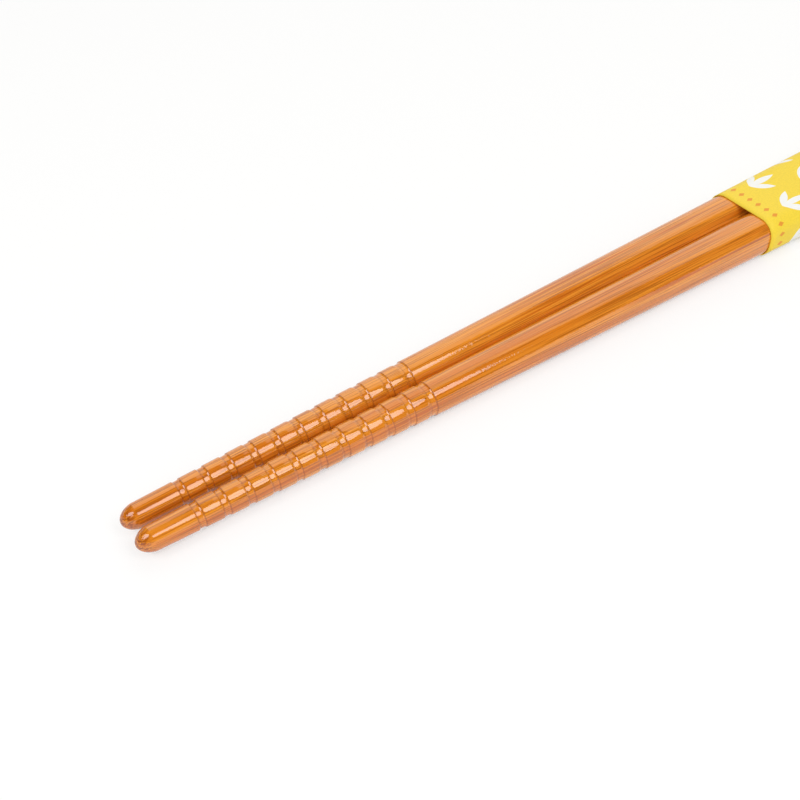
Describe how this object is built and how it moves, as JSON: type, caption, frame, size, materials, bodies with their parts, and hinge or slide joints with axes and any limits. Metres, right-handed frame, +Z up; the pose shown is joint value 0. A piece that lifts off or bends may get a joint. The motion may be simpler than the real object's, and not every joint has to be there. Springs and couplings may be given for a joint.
{
  "type": "pair of bamboo chopsticks",
  "caption": "Tapered lacquered bamboo chopsticks lying side by side, with round ring-grooved tips and soft square handles wrapped in a yellow paper band; for picking up food.",
  "frame": {"origin": "middle of the underside of the box round the part, on the table", "axes": "+X along the sticks from the tips to the handles, +Y across the pair to the right stick, +Z up"},
  "size_m": [0.225, 0.0176, 0.009],
  "materials": {
    "bamboo": "carbonised bamboo under a clear gloss lacquer",
    "band_paper": "smooth printed paper, yellow ground"
  },
  "bodies": {
    "root": {"left_chopstick": "bamboo", "right_chopstick": "bamboo", "paper_band": "band_paper"}
  },
  "joints": []
}
